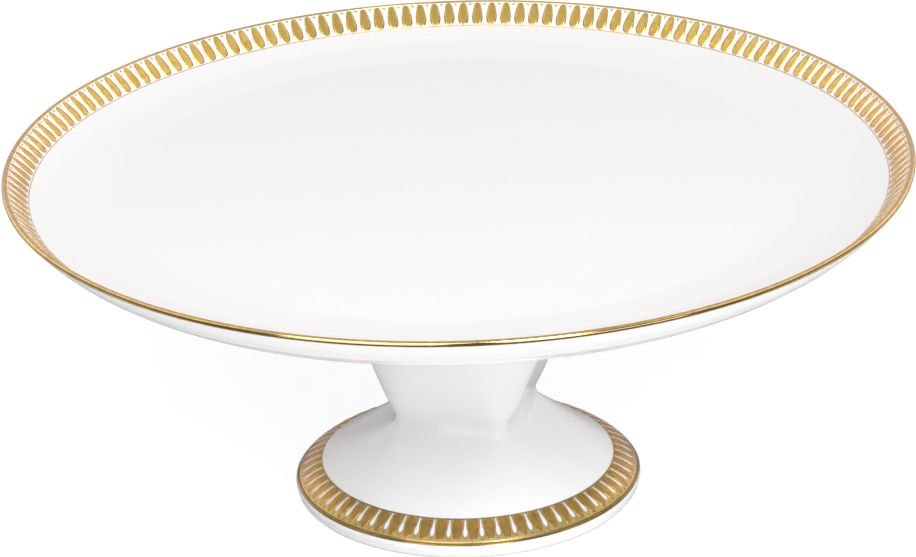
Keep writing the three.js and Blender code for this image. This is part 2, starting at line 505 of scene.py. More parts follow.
@dataclass
class Palette:
    """Every finish of the stand, built once."""

    porcelain: bpy.types.Material = field(init=False)
    bisque: bpy.types.Material = field(init=False)
    petal_gold: bpy.types.Material = field(init=False)
    foot_gold_painted_shade: bpy.types.Material = field(init=False)
    line_gold_painted_shade: bpy.types.Material = field(init=False)
    bright_gold: bpy.types.Material = field(init=False)
    ground_gold: bpy.types.Material = field(init=False)
    zinc: bpy.types.Material = field(init=False)
    brass: bpy.types.Material = field(init=False)
    silicone: bpy.types.Material = field(init=False)
    rubber: bpy.types.Material = field(init=False)

    def __post_init__(self) -> None:
        """Build the materials."""
        # A wet white gloss against the one dry, chalky ring under the foot.
        self.porcelain = GlazedPorcelain("porcelain_glazed", "#F5F5F6", 0.07).build()
        self.bisque = BareBisque("porcelain_bisque", "#E9E6DF", 0.75).build()
        # One fired metal, burnished, polished or left matt: petals, lines and ground part by tone. The foot's
        # gold and the foot's outer line are the burnished gold darkened as painted shade.
        self.petal_gold = Gilding(
            "gold_burnished_petals", "#E0BA70", 0.22, 1.0, worn="#CEA75F",
        ).build()
        # Painted shade: the burnished gold made darker for the foot, which sits in the plate's shade.
        self.foot_gold_painted_shade = Gilding(
            "gold_burnished_foot_painted_shade", "#B8934F", 0.20, 1.0, worn="#A78245", haze=0.05,
        ).build()
        # Painted shade: the foot's outer line in a still darker gold, standing in for the dark room mirrored
        # in it; its low roughness is real.
        self.line_gold_painted_shade = Gilding(
            "gold_burnished_line_painted_shade", "#9A8046", 0.14, 1.0, worn="#8A713C", haze=0.04,
        ).build()
        self.bright_gold = Gilding(
            "gold_polished_lines", "#E6C48A", 0.10, 1.0, worn="#D8B377", haze=0.05, relief=0.02,
        ).build()
        self.ground_gold = Gilding(
            "gold_matt_ground", "#C4AC78", 0.26, 1.0, worn="#B59D6A", haze=0.05,
        ).build()
        # The hidden joint: cool bright plating, warm machined brass, and two dull soft rings.
        self.zinc = PlatedMetal("steel_zinc_plated", "#BFC3C8", 0.32, 1.0).build()
        self.brass = PlatedMetal("brass_machined", "#C9A457", 0.30, 1.0).build()
        self.silicone = MouldedRubber("silicone_moulded", "#DAD9D4", 0.55).build()
        self.rubber = MouldedRubber("rubber_moulded", "#2E2E2E", 0.75).build()


# ---- Plate -------------------------------------------------------------------------------------


@dataclass
class Plate:
    """The dish, its gilded lip and the fine line that closes the petal band on its inner side."""

    palette: Palette
    segments: int = 360
    coat: float = 0.05 * MM  # how far gold stands off the glaze
    lip_radius: float = 1.1 * MM
    lip_foot: float = -34  # degrees round the lip, from outwards, where the porcelain's round starts
    gold_foot: float = -24  # degrees where the lip's gold starts
    lip_inside: float = 140  # degrees where the lip meets the flange
    lip_steps: int = 20
    flange_foot: Point = (146.1 * MM, 116.9 * MM)
    well_radius: float = 122 * MM
    well_drop: float = 9.8 * MM
    underside_drop: float = 15.0 * MM
    boss_radius: float = 18 * MM
    bore_radius: float = 7.4 * MM
    bore_depth: float = 8 * MM

    def __post_init__(self) -> None:
        """Take the plate's reach and heights from the frame."""
        low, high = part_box("plate")
        self.radius = high[0]
        self.top = high[2]
        self.boss_foot = low[2]
        self.lip_centre = (self.radius - self.lip_radius, self.top - self.lip_radius)
        lip_start = arc(self.lip_centre, self.lip_radius - self.coat, self.lip_inside, self.lip_inside, 1)[0]
        halfway = ((self.flange_foot[0] + lip_start[0]) / 2, (self.flange_foot[1] + lip_start[1]) / 2)
        self.flange = Meridian(self.flange_foot, halfway, lip_start)

    def dish(self) -> bpy.types.Object:
        """Turn the porcelain.

        Returns:
            The dish, in place of its CAD node.
        """
        well = self.top - self.well_drop
        under = self.top - self.underside_drop
        foot_r, foot_z = self.flange_foot
        boss = self.boss_foot
        shoulder = under - 1.0 * MM
        below = rounded([
            (0, boss + self.bore_depth, 0),
            (self.bore_radius, boss + self.bore_depth, 0.5 * MM),
            (self.bore_radius, boss, 0.4 * MM),
            (self.boss_radius, boss, 1 * MM),
            (self.boss_radius + 1 * MM, under, 3 * MM),
            (self.well_radius - 12 * MM, under, 80 * MM),
            (self.well_radius + 8 * MM, shoulder, 60 * MM),
            (foot_r - 8.4 * MM, shoulder + 0.2 * MM, 9 * MM),
            (foot_r - 4.4 * MM, shoulder + 2.4 * MM, 12 * MM),
            (foot_r, foot_z - 3.4 * MM, 12 * MM),
            (foot_r + 4.5 * MM, foot_z + 0.6 * MM, 30 * MM),
            (self.lip_centre[0] + 0.85 * MM, self.lip_centre[1] - 0.66 * MM, 0),
        ])
        lip = arc(self.lip_centre, self.lip_radius - self.coat, self.lip_foot, self.lip_inside, 16)
        above = rounded([
            (*self.flange.outer, 0),
            (foot_r, foot_z, 0.5 * MM),
            (self.well_radius + 12 * MM, well + 1.1 * MM, 60 * MM),
            (self.well_radius - 4 * MM, well, 90 * MM),
            (0, well, 0),
        ])
        dish = turned("plate_dish", below[:-1] + lip + above[1:], self.segments, self.palette.porcelain)
        return report(dish, "porcelain", "plate")

    def gilded_lip(self) -> bpy.types.Object:
        """Coat the lip, from inside the rim over its top to just under its outer edge.

        Returns:
            The gold lip.
        """
        buried = self.lip_radius - 3 * self.coat
        outside = arc(self.lip_centre, self.lip_radius, self.gold_foot, self.lip_inside, self.lip_steps)
        hidden = arc(self.lip_centre, buried, self.lip_inside, self.gold_foot, self.lip_steps)
        lip = turned("plate_gilded_lip", outside + hidden, self.segments, self.palette.bright_gold)
        return report(lip, "porcelain")

    def edge_line(self) -> bpy.types.Object:
        """Draw the fine gold line that closes the petal band on its inner side.

        Returns:
            The line.
        """
        outline = self.flange.strip(0.0, 0.03, self.coat, self.coat, 2)
        line = turned("plate_inner_line", outline, self.segments, self.palette.petal_gold)
        return report(line, "porcelain")


# ---- Pedestal ----------------------------------------------------------------------------------


def square_reach(half_width: float, corner: float) -> Callable[[float], float]:
    """Reach of a square with rounded corners, by angle.

    Args:
        half_width: Half the square's width.
        corner: Corner radius; as large as half_width for a circle.

    Returns:
        A function from angle to distance from the axis.
    """
    centre = half_width - corner

    def reach(angle: float) -> float:
        """Distance from the axis to the edge at this angle."""
        off_side = abs(angle - math.pi / 2 * round(angle / (math.pi / 2)))
        if half_width * math.tan(off_side) <= centre:
            return half_width / math.cos(off_side)
        diagonal = centre * math.sqrt(2)
        off_corner = off_side - math.pi / 4
        across = diagonal * math.sin(off_corner)
        return diagonal * math.cos(off_corner) + math.sqrt(max(corner**2 - across**2, 0))

    return reach


@dataclass(frozen=True)
class Flare:
    """How the square waist opens out to a round end."""

    end_radius: float
    end_height: float
    growth: float
    rounding: float


@dataclass
class Pedestal:
    """The hollow stem and foot, with the coat and lines of its gilded foot."""

    palette: Palette
    segments: int = 320
    coat: float = 0.05 * MM
    waist_height: float = 30.5 * MM
    waist_half_width: float = 19 * MM
    waist_corner: float = 3.2 * MM
    shoulder: Point = (51 * MM, 11.2 * MM)
    flat_fillet: float = 3.2 * MM
    corner_fillet: float = 1.8 * MM
    fillet_zone: float = 13 * MM
    fillet_spots: tuple[float, ...] = (-1.6, -1.1, -0.5, 0.0, 0.5, 1.1, 1.6)  # heights averaged, in fillets
    wall: float = 4 * MM
    web_top: float = 32.5 * MM
    web_bottom: float = 23.5 * MM
    hole_radius: float = 4.7 * MM
    seat_radius: float = 13 * MM

    def __post_init__(self) -> None:
        """Take the pedestal's reach and height from the frame."""
        low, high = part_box("pedestal")
        self.foot_radius = high[0]
        self.top = high[2]
        self.upper = Flare(49.5 * MM, self.top, 0.86, 0.95)
        self.lower = Flare(self.shoulder[0], self.shoulder[1], 1.1, 1.15)
        self.band = Meridian(
            self.shoulder, (57.4 * MM, 8.7 * MM), (self.foot_radius - 0.15 * MM, 4.9 * MM),
        )

    def section(self, way: float, flare: Flare, inset: float = 0.0) -> tuple[float, float, float]:
        """Height, half width and corner radius of a flare's section.

        Args:
            way: From the waist (0) to the round end (1).
            flare: The flare.
            inset: Wall taken off the outer skin.

        Returns:
            Height, half width and corner radius.
        """
        z = mix(self.waist_height, flare.end_height, way)
        half = mix(self.waist_half_width, flare.end_radius, way**flare.growth) - inset
        corner = mix(self.waist_corner, flare.end_radius, way**flare.rounding) - inset
        return z, half, min(max(corner, 3 * MM if inset else 0.0), half)

    def outer_skin(self) -> list[tuple[float, Callable[[float], float]]]:
        """Sections of the stem from the shoulder up to the top, softened where the flares meet.

        Returns:
            Height of each section, and its reach from the axis as a function of angle.
        """
        steps = 26
        spread = 1.6  # closer sections near the waist
        ways = [(k / steps) ** spread for k in range(steps + 1)]
        heights = [self.section(w, self.lower)[0] for w in ways[:0:-1]]
        heights += [self.section(w, self.upper)[0] for w in ways]
        return [(z, self.softened(z)) for z in heights]

    def sharp_section(self, z: float) -> Callable[[float], float]:
        """Reach of the stem at a height, before the waist is softened."""
        flare = self.upper if z >= self.waist_height else self.lower
        way = (z - self.waist_height) / (flare.end_height - self.waist_height)
        return square_reach(*self.section(min(way, 1.0), flare)[1:])

    def softened(self, z: float) -> Callable[[float], float]:
        """Reach at a height, with a wide fillet on the flat sides and a tight one at the corners.

        Args:
            z: Height of the section.

        Returns:
            A function from angle to distance from the axis.
        """
        near = max(0.0, 1 - abs(z - self.waist_height) / self.fillet_zone)
        flat = [self.sharp_section(z + near * self.flat_fillet * s) for s in self.fillet_spots]
        tight = [self.sharp_section(z + near * self.corner_fillet * s) for s in self.fillet_spots]

        def reach(angle: float) -> float:
            """Distance from the axis to the skin at this angle."""
            flatness = math.cos(2 * angle) ** 2
            wide = sum(section(angle) for section in flat) / len(flat)
            close = sum(section(angle) for section in tight) / len(tight)
            return mix(close, wide, flatness)

        return reach

    def body(self) -> bpy.types.Object:
        """Loft the porcelain: foot, stem, upper cavity, web and foot hollow.

        Returns:
            The pedestal, in place of its CAD node.
        """
        rim = self.foot_radius
        edge = rounded([
            (rim - 3.6 * MM, 0, 0),
            (rim - 1.9 * MM, 0, 1 * MM),
            (rim - 0.7 * MM, 1.3 * MM, 2 * MM),
            (rim, 4.0 * MM, 2 * MM),
            (*self.band.outer, 0),
        ], steps=6)
        band = [tuple(self.band.at(1 - k / 16)) for k in range(16)]
        rounds = edge[:-1] + band
        sections = [(z, square_reach(r, r)) for r, z in rounds]
        sections += self.outer_skin()
        floor_way = (self.web_top - self.waist_height) / (self.top - self.waist_height)
        for k in range(12, -1, -1):
            z, half, corner = self.section(mix(floor_way, 1, k / 12), self.upper, self.wall)
            sections.append((z, square_reach(half, corner)))
        hollow = rounded([
            (self.hole_radius, self.web_top, 0),
            (self.hole_radius, self.web_bottom, 0.6 * MM),
            (self.seat_radius, self.web_bottom, 0),
            (20 * MM, 21.4 * MM, 12 * MM),
            (36 * MM, 12.4 * MM, 60 * MM),
            (53 * MM, 3.8 * MM, 12 * MM),
            (55.2 * MM, 1.4 * MM, 3 * MM),
            (rim - 4.9 * MM, 0, 0),
        ], steps=7)
        sections += [(z, square_reach(r, r)) for r, z in hollow]
        body = lofted("pedestal_body", sections, self.segments, self.palette.porcelain)
        body.data.materials.append(self.palette.bisque)
        for face in body.data.polygons:
            if face.center.z < 0.25 * MM:
                face.material_index = 1
        return report(body, "porcelain", "pedestal")

    def foot_gilding(self) -> list[bpy.types.Object]:
        """Coat the foot's band and draw its solid outer line.

        Returns:
            The coat and the line.
        """
        ground = self.band.strip(0.0, 0.88, 0.4 * self.coat, self.coat, 12)
        # The outer line takes the gold darkened as painted shade.
        line = self.band.strip(0.87, 0.96, self.coat, self.coat, 6)
        pieces = [
            turned("foot_gold_ground", ground, self.segments, self.palette.ground_gold),
            turned("foot_gold_line", line, self.segments, self.palette.line_gold_painted_shade),
        ]
        return [report(piece, "porcelain") for piece in pieces]


# ---- Petals, dots and slits --------------------------------------------------------------------


class Motif(Enum):
    """Shapes that repeat round a band: half width along the length, as share of the widest."""

    PETAL = (
        (0.0, 0.0), (0.03, 0.48), (0.1, 0.8), (0.3, 1.0),
        (0.6, 0.86), (0.85, 0.64), (0.96, 0.44), (1.0, 0.0),
    )
    DROP = ((0.0, 0.0), (0.1, 0.6), (0.3, 0.92), (0.5, 1.0), (0.7, 0.92), (0.9, 0.6), (1.0, 0.0))
    SLIT = ((0.0, 0.0), (0.04, 0.3), (0.3, 0.42), (0.55, 0.66), (0.78, 1.0), (0.9, 0.8), (1.0, 0.0))


@dataclass(frozen=True)
class Repeat:
    """One motif set round a band.

    Ways run along the band's meridian, widths are shares of the pitch, and heights are metres.
    """

    name: str
    motif: Motif
    count: int
    first_angle: float  # degrees
    start: float
    end: float
    width: float
    lift: float
    crown: float
    sink: float
    finish: bpy.types.Material
    along: int = 13
    across: int = 5


class BandTree:
    """The node tree that lays a repeated motif on a round surface.

    Everything is drawn flat first, in a space whose X is the way along the meridian, whose Y is
    the angle round the axis and whose Z is the height off the surface, and is then wrapped.
    """

    INPUTS = (
        ("Count", "NodeSocketInt"),
        ("First Angle", "NodeSocketFloat"),
        ("Start", "NodeSocketFloat"),
        ("End", "NodeSocketFloat"),
        ("Width", "NodeSocketFloat"),
        ("Lift", "NodeSocketFloat"),
        ("Crown", "NodeSocketFloat"),
        ("Sink", "NodeSocketFloat"),
        ("Inner", "NodeSocketVector"),
        ("Middle", "NodeSocketVector"),
        ("Outer", "NodeSocketVector"),
        ("Finish", "NodeSocketMaterial"),
    )

    def __init__(self, motif: Motif, along: int, across: int) -> None:
        """Build the tree for one motif.

        Args:
            motif: Shape that it repeats.
            along: Corners along each motif.
            across: Corners across each motif.
        """
        self.tree = bpy.data.node_groups.new(f"band_of_{motif.name.lower()}s", "GeometryNodeTree")
        for name, kind in self.INPUTS:
            self.tree.interface.new_socket(name, in_out="INPUT", socket_type=kind)
        self.tree.interface.new_socket("Geometry", in_out="OUTPUT", socket_type="NodeSocketGeometry")
        self.given = node(self.tree, "NodeGroupInput").outputs
        flat = self._row(self._template(motif, along, across))
        wrapped = self._wrap(flat)
        dressed = node(self.tree, "GeometryNodeSetMaterial", {
            "Geometry": wrapped, "Material": self.given["Finish"],
        })
        node(self.tree, "NodeGroupOutput", {"Geometry": dressed.outputs[0]})

    def _maths(self, operation: str, *terms: object) -> bpy.types.NodeSocket:
        """Result of one sum on up to three values or sockets, in this tree."""
        return sum_of(self.tree, operation, *terms)

    def _template(self, motif: Motif, along: int, across: int) -> bpy.types.NodeSocket:
        """Shape one closed motif from a divided box.

        Args:
            motif: Its outline.
            along: Corners along it.
            across: Corners across it.

        Returns:
            The motif's geometry, in the flat space, centred on angle 0.
        """
        box = node(self.tree, "GeometryNodeMeshCube", {
            "Size": (1, 1, 1), "Vertices X": along, "Vertices Y": across, "Vertices Z": 2,
        })
        place = node(self.tree, "GeometryNodeInputPosition")
        split = node(self.tree, "ShaderNodeSeparateXYZ", {0: place.outputs[0]}).outputs
        half_turn = self._maths("MULTIPLY", self._maths("ADD", split["X"], 0.5), math.pi)
        way = self._maths("MULTIPLY_ADD", self._maths("COSINE", half_turn), -0.5, 0.5)
        outline = node(self.tree, "ShaderNodeFloatCurve", {"Value": way})
        curve = outline.mapping.curves[0]
        curve.points[0].location = motif.value[0]
        curve.points[-1].location = motif.value[-1]
        for spot in motif.value[1:-1]:
            curve.points.new(*spot)
        outline.mapping.update()
        pitch = self._maths("DIVIDE", 2 * math.pi, self.given["Count"])
        widest = self._maths("MULTIPLY", pitch, self.given["Width"])
        side = self._maths("MULTIPLY", split["Y"], widest)
        angle = self._maths("MULTIPLY", side, outline.outputs[0])
        span = self._maths("SUBTRACT", self.given["End"], self.given["Start"])
        along_band = self._maths("MULTIPLY_ADD", way, span, self.given["Start"])
        across_share = self._maths("MULTIPLY", split["Y"], 2.0)
        dome = self._maths("SUBTRACT", 1.0, self._maths("MULTIPLY", across_share, across_share))
        bulge = self._maths("MULTIPLY", dome, outline.outputs[0])
        shaped = self._maths("MULTIPLY", bulge, self.given["Crown"])
        top = self._maths("ADD", self.given["Lift"], shaped)
        is_top = self._maths("GREATER_THAN", split["Z"], 0.0)
        top_part = self._maths("MULTIPLY", top, is_top)
        low_part = self._maths("MULTIPLY", self.given["Sink"], self._maths("SUBTRACT", 1.0, is_top))
        height = self._maths("SUBTRACT", top_part, low_part)
        spot = node(self.tree, "ShaderNodeCombineXYZ", {"X": along_band, "Y": angle, "Z": height})
        shaped_box = node(self.tree, "GeometryNodeSetPosition", {
            "Geometry": box.outputs["Mesh"], "Position": spot.outputs[0],
        })
        return shaped_box.outputs[0]

    def _row(self, motif: bpy.types.NodeSocket) -> bpy.types.NodeSocket:
        """Repeat the motif along the angle axis, as real geometry."""
        pitch = self._maths("DIVIDE", 2 * math.pi, self.given["Count"])
        first = node(self.tree, "ShaderNodeCombineXYZ", {"Y": self.given["First Angle"]})
        step = node(self.tree, "ShaderNodeCombineXYZ", {"Y": pitch})
        line = node(self.tree, "GeometryNodeMeshLine", {
            "Count": self.given["Count"], "Start Location": first.outputs[0], "Offset": step.outputs[0],
        })
        row = node(self.tree, "GeometryNodeInstanceOnPoints", {"Points": line.outputs[0], "Instance": motif})
        return node(self.tree, "GeometryNodeRealizeInstances", {"Geometry": row.outputs[0]}).outputs[0]

    def _wrap(self, flat: bpy.types.NodeSocket) -> bpy.types.NodeSocket:
        """Wrap flat geometry on to the surface, close its ends and smooth it."""
        place = node(self.tree, "GeometryNodeInputPosition")
        split = node(self.tree, "ShaderNodeSeparateXYZ", {0: place.outputs[0]}).outputs
        meridian = node(self.tree, "GeometryNodeCurveQuadraticBezier", {
            "Resolution": 48, "Start": self.given["Inner"],
            "Middle": self.given["Middle"], "End": self.given["Outer"],
        })
        sample = node(self.tree, "GeometryNodeSampleCurve", {
            "Curves": meridian.outputs[0], "Factor": split["X"],
        }, mode="FACTOR")
        along = node(self.tree, "ShaderNodeSeparateXYZ", {0: sample.outputs["Tangent"]}).outputs
        fall = self._maths("MULTIPLY", along["Z"], -1.0)
        off = node(self.tree, "ShaderNodeCombineXYZ", {"X": fall, "Z": along["X"]})
        raised = node(self.tree, "ShaderNodeVectorMath", {
            0: off.outputs[0], "Scale": split["Z"],
        }, operation="SCALE")
        spot = node(self.tree, "ShaderNodeVectorMath", {
            0: sample.outputs["Position"], 1: raised.outputs[0],
        }, operation="ADD")
        turned_spot = node(self.tree, "ShaderNodeVectorRotate", {
            "Vector": spot.outputs[0], "Angle": split["Y"],
        }, rotation_type="Z_AXIS")
        wrapped = node(self.tree, "GeometryNodeSetPosition", {
            "Geometry": flat, "Position": turned_spot.outputs[0],
        })
        closed = node(self.tree, "GeometryNodeMergeByDistance", {
            "Geometry": wrapped.outputs[0], "Distance": 0.004 * MM,
        })
        return node(self.tree, "GeometryNodeSetShadeSmooth", {"Geometry": closed.outputs[0]}).outputs[0]


@dataclass
class GildedBand:
    """A band of repeated motifs on one meridian."""

    meridian: Meridian
    repeats: Iterable[Repeat]

    def lay(self) -> list[bpy.types.Object]:
        """Run each repeat's tree and keep its result as a plain mesh.

        Returns:
            One piece for each repeat.
        """
        return [self._lay_one(repeat) for repeat in self.repeats]

    def _lay_one(self, repeat: Repeat) -> bpy.types.Object:
        """Make the mesh of one repeat.

        Args:
            repeat: What is repeated, and where.

        Returns:
            The finished piece.
        """
        tree = BandTree(repeat.motif, repeat.along, repeat.across).tree
        carrier = bpy.data.objects.new(f"{repeat.name}_carrier", bpy.data.meshes.new("carrier"))
        modifier = carrier.modifiers.new("band", "NODES")
        modifier.node_group = tree
        values = {
            "Count": repeat.count,
            "First Angle": math.radians(repeat.first_angle),
            "Start": repeat.start,
            "End": repeat.end,
            "Width": repeat.width,
            "Lift": repeat.lift,
            "Crown": repeat.crown,
            "Sink": repeat.sink,
            "Inner": self._spot(self.meridian.inner),
            "Middle": self._spot(self.meridian.middle),
            "Outer": self._spot(self.meridian.outer),
            "Finish": repeat.finish,
        }
        for socket in tree.interface.items_tree:
            if socket.in_out == "INPUT":
                modifier[socket.identifier] = values[socket.name]
        bpy.context.scene.collection.objects.link(carrier)
        depsgraph = bpy.context.evaluated_depsgraph_get()
        mesh = bpy.data.meshes.new_from_object(carrier.evaluated_get(depsgraph))
        mesh.name = repeat.name
        bpy.data.objects.remove(carrier)
        piece = bpy.data.objects.new(repeat.name, mesh)
        bpy.context.scene.collection.objects.link(piece)
        return report(piece, "porcelain")

    @staticmethod
    def _spot(point: Point) -> tuple[float, float, float]:
        """A meridian point as a vector in the plane of angle 0."""
        return (point[0], 0.0, point[1])


def plate_band(plate: Plate, palette: Palette) -> GildedBand:
    """The petals and dots inside the plate's rim.

    Args:
        plate: The plate that carries them.
        palette: The finishes.

    Returns:
        The band.
    """
    petals = 178
    first = 0.59  # degrees to the first petal
    coat = plate.coat
    return GildedBand(plate.flange, [
        Repeat("plate_petals", Motif.PETAL, petals, first, 0.05, 0.985, 0.76,
               coat, 1.5 * coat, coat, palette.petal_gold),
        Repeat("plate_dots", Motif.DROP, petals, first + 180 / petals, 0.87, 0.965, 0.20,
               coat, 1.5 * coat, coat, palette.petal_gold, along=7, across=4),
    ])


def foot_band(pedestal: Pedestal, palette: Palette) -> GildedBand:
    """The petals, dots and bare slits on the foot.

    Args:
        pedestal: The pedestal that carries them.
        palette: The finishes.

    Returns:
        The band.
    """
    petals = 63
    first = 4.56  # degrees to the first petal
    between = first + 180 / petals
    coat = pedestal.coat
    # The foot's petals and dots take the gold darkened as painted shade.
    return GildedBand(pedestal.band, [
        Repeat("foot_petals", Motif.PETAL, petals, first, 0.02, 0.79, 0.62,
               coat, 2 * coat, coat, palette.foot_gold_painted_shade, along=15, across=7),
        Repeat("foot_dots", Motif.DROP, petals, between, 0.74, 0.80, 0.12,
               coat, 2 * coat, coat, palette.foot_gold_painted_shade, along=7, across=5),
        Repeat("foot_slits", Motif.SLIT, petals, between, 0.05, 0.67, 0.27,
               0.8 * coat, 0.0, coat, palette.porcelain, along=11, across=5),
    ])


# ---- Hardware ----------------------------------------------------------------------------------


def hex_reach(across_flats: float, limit: float) -> Callable[[float], float]:
    """Reach of a hexagon whose corners are turned off at a radius.

    Args:
        across_flats: Width across the flats.
        limit: Radius that the corners are cut to.

    Returns:
        A function from angle to distance from the axis.
    """
    def reach(angle: float) -> float:
        """Distance from the axis to the edge at this angle."""
        off_flat = (angle - math.pi / 6) % (math.pi / 3)
        off_flat = min(off_flat, math.pi / 3 - off_flat)
        return min(across_flats / 2 / math.cos(off_flat), limit)

    return reach


@dataclass
class Hardware:
    """What holds the two porcelain pieces together, under the waist and inside the stem."""

    palette: Palette
    segments: int = 72
    bevel: float = 0.25 * MM
    thread_pitch: float = 1.25 * MM
    thread_depth: float = 0.55 * MM
    cushion_bore: float = 4.7 * MM
    load_bore: float = 4.3 * MM
    spring_bore: float = 4.2 * MM
    nut_bore: float = 4.25 * MM
    seal_bore: float = 43 * MM

    def washer(self, cad_node: str, name: str, bore: float, slot: str,
               finish: bpy.types.Material) -> bpy.types.Object:
        """Turn a washer with softened edges in the space of its CAD node.

        Args:
            cad_node: CAD node that it replaces.
            name: Name of the piece.
            bore: Radius of its hole.
            slot: Name of a material slot, written only to the log.
            finish: Material.

        Returns:
            The washer.
        """
        low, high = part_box(cad_node)
        r, z0, z1 = high[0], low[2], high[2]
        half = (z0 + z1) / 2
        outline = rounded([
            (bore, half, 0), (bore, z0, self.bevel), (r, z0, self.bevel),
            (r, z1, self.bevel), (bore, z1, self.bevel), (bore, half, 0),
        ], steps=3)
        return report(turned(name, outline[:-1], self.segments, finish), slot, cad_node)

    def nut(self) -> bpy.types.Object:
        """Shape the hexagon nut, its corners turned off top and bottom and its bore threaded.

        Returns:
            The nut.
        """
        low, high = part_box("nut")
        z0, z1 = low[2], high[2]
        flats = high[1] - low[1]
        corner = flats / math.sqrt(3)
        crown = 1.1 * MM
        outer = [
            (z0, 0.93 * flats / 2), (z0 + 0.02 * MM, 0.95 * flats / 2), (z0 + crown, corner),
            (z1 - crown, corner), (z1 - 0.02 * MM, 0.95 * flats / 2), (z1, 0.93 * flats / 2),
        ]
        sections = [(z, hex_reach(flats, limit)) for z, limit in outer]
        bore = self.nut_bore
        flared = square_reach(bore + 0.5 * MM, bore + 0.5 * MM)
        turns = int((z1 - z0) / self.thread_pitch)
        sections.append((z1, flared))
        for k in range(turns * 2, -1, -1):
            radius = bore - (0.0 if k % 2 else 0.2 * MM)
            z = mix(z0 + 0.4 * MM, z1 - 0.4 * MM, k / (turns * 2))
            sections.append((z, square_reach(radius, radius)))
        sections.append((z0, flared))
        return report(lofted("nut_hexagon", sections, self.segments, self.palette.zinc), "zinc_steel", "nut")

    def rod(self) -> bpy.types.Object:
        """Cut the rod's thread as a helix round its core.

        Returns:
            The threaded rod.
        """
        low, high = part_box("tie_rod")
        radius, z0, z1 = high[0], low[2], high[2]
        around = 24
        chamfer = 1.0 * MM
        steps_per_pitch = 4
        profile = (0.0, 0.5, 1.0, 0.5)
        rows = int((z1 - z0) / self.thread_pitch * steps_per_pitch)
        points, faces = [], []
        for row in range(rows + 1):
            for i in range(around):
                share = i / around
                z = mix(z0, z1, row / rows)
                phase = (row / steps_per_pitch - share) % 1.0 * steps_per_pitch
                first = int(phase) % steps_per_pitch
                second = (first + 1) % steps_per_pitch
                depth = mix(profile[first], profile[second], phase - int(phase)) * self.thread_depth
                ends = min(z - z0, z1 - z) / chamfer
                far = min(radius - depth, radius - chamfer * 0.8 * max(0.0, 1 - ends))
                angle = 2 * math.pi * share
                points.append((far * math.cos(angle), far * math.sin(angle), z))
        for row in range(rows):
            for i in range(around):
                j = (i + 1) % around
                here, there = row * around, (row + 1) * around
                faces.append((here + i, here + j, there + j, there + i))
        faces.append(tuple(range(around - 1, -1, -1)))
        faces.append(tuple(range(rows * around, (rows + 1) * around)))
        rod = mesh_object("tie_rod_threaded", points, faces, self.palette.zinc)
        return report(rod, "zinc_steel", "tie_rod")

    def spring_washer(self) -> bpy.types.Object:
        """Bend the split ring, its two ends a little apart in height.

        Returns:
            The spring washer.
        """
        low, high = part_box("spring_washer")
        z0, z1 = low[2], high[2]
        outer, inner = high[1], self.spring_bore
        slit = 0.14
        rise = 0.25 * MM
        steps = 64
        thick = z1 - z0 - rise
        cut = 0.2 * MM
        section = [
            (inner, cut), (inner + cut, 0), (outer - cut, 0), (outer, cut),
            (outer, thick - cut), (outer - cut, thick), (inner + cut, thick), (inner, thick - cut),
        ]
        points, faces = [], []
        for k in range(steps + 1):
            angle = mix(slit, 2 * math.pi - slit, k / steps)
            lift = z0 + rise * k / steps
            points.extend((r * math.cos(angle), r * math.sin(angle), z + lift) for r, z in section)
        size = len(section)
        for k in range(steps):
            for i in range(size):
                j = (i + 1) % size
                faces.append((k * size + i, (k + 1) * size + i, (k + 1) * size + j, k * size + j))
        faces.append(tuple(range(size)))
        faces.append(tuple(steps * size + i for i in range(size - 1, -1, -1)))
        piece = mesh_object("spring_washer_split", points, faces, self.palette.zinc)
        return report(piece, "zinc_steel", "spring_washer")

    def build(self) -> None:
        """Make every piece, and finish the hidden ones that keep their CAD shape."""
        self.washer("cushion_washer", "cushion_washer_soft", self.cushion_bore, "rubber", self.palette.rubber)
        self.washer("load_washer", "load_washer_flat", self.load_bore, "zinc_steel", self.palette.zinc)
        self.washer("seal_ring", "seal_ring_soft", self.seal_bore, "silicone", self.palette.silicone)
        self.spring_washer()
        self.nut()
        self.rod()
        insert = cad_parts["threaded_insert"]
        insert.data.materials.clear()
        insert.data.materials.append(self.palette.brass)
        LOG.info("threaded_insert: keeps its CAD shape, in machined brass")


# ---- Studio ------------------------------------------------------------------------------------


@dataclass(frozen=True)
class SoftBox:
    """A white area light that faces the stand.

    Azimuth is in degrees round from the camera, anticlockwise seen from above; elevation is in
    degrees above the table; distance, width and height are in metres; power is in watts.
    """

    name: str
    azimuth: float
    elevation: float
    width: float
    height: float
    power: float
    away: float = 1.6

    def hang(self, turn: float, aim: Vector) -> None:
        """Make the light.

        Args:
            turn: Degrees the camera stands round from the front.
            aim: Point that it faces.
        """
        data = bpy.data.lights.new(self.name, "AREA")
        data.shape = "RECTANGLE"
        data.size, data.size_y = self.width, self.height
        data.energy = self.power
        lamp = bpy.data.objects.new(self.name, data)
        bpy.context.scene.collection.objects.link(lamp)
        bearing = math.radians(turn + self.azimuth - 90)
        height = math.radians(self.elevation)
        lamp.location = aim + self.away * Vector((
            math.cos(height) * math.cos(bearing), math.cos(height) * math.sin(bearing), math.sin(height),
        ))
        lamp.rotation_euler = (aim - lamp.location).to_track_quat("-Z", "Y").to_euler()


def fade(tree: bpy.types.NodeTree, value: bpy.types.NodeSocket, start: float, end: float,
         low: float, high: float) -> bpy.types.NodeSocket:
    """Ease from one level to another as a value passes from start to end."""
    return node(tree, "ShaderNodeMapRange", {
        "Value": value, "From Min": start, "From Max": end, "To Min": low, "To Max": high,
    }, interpolation_type="SMOOTHSTEP").outputs[0]


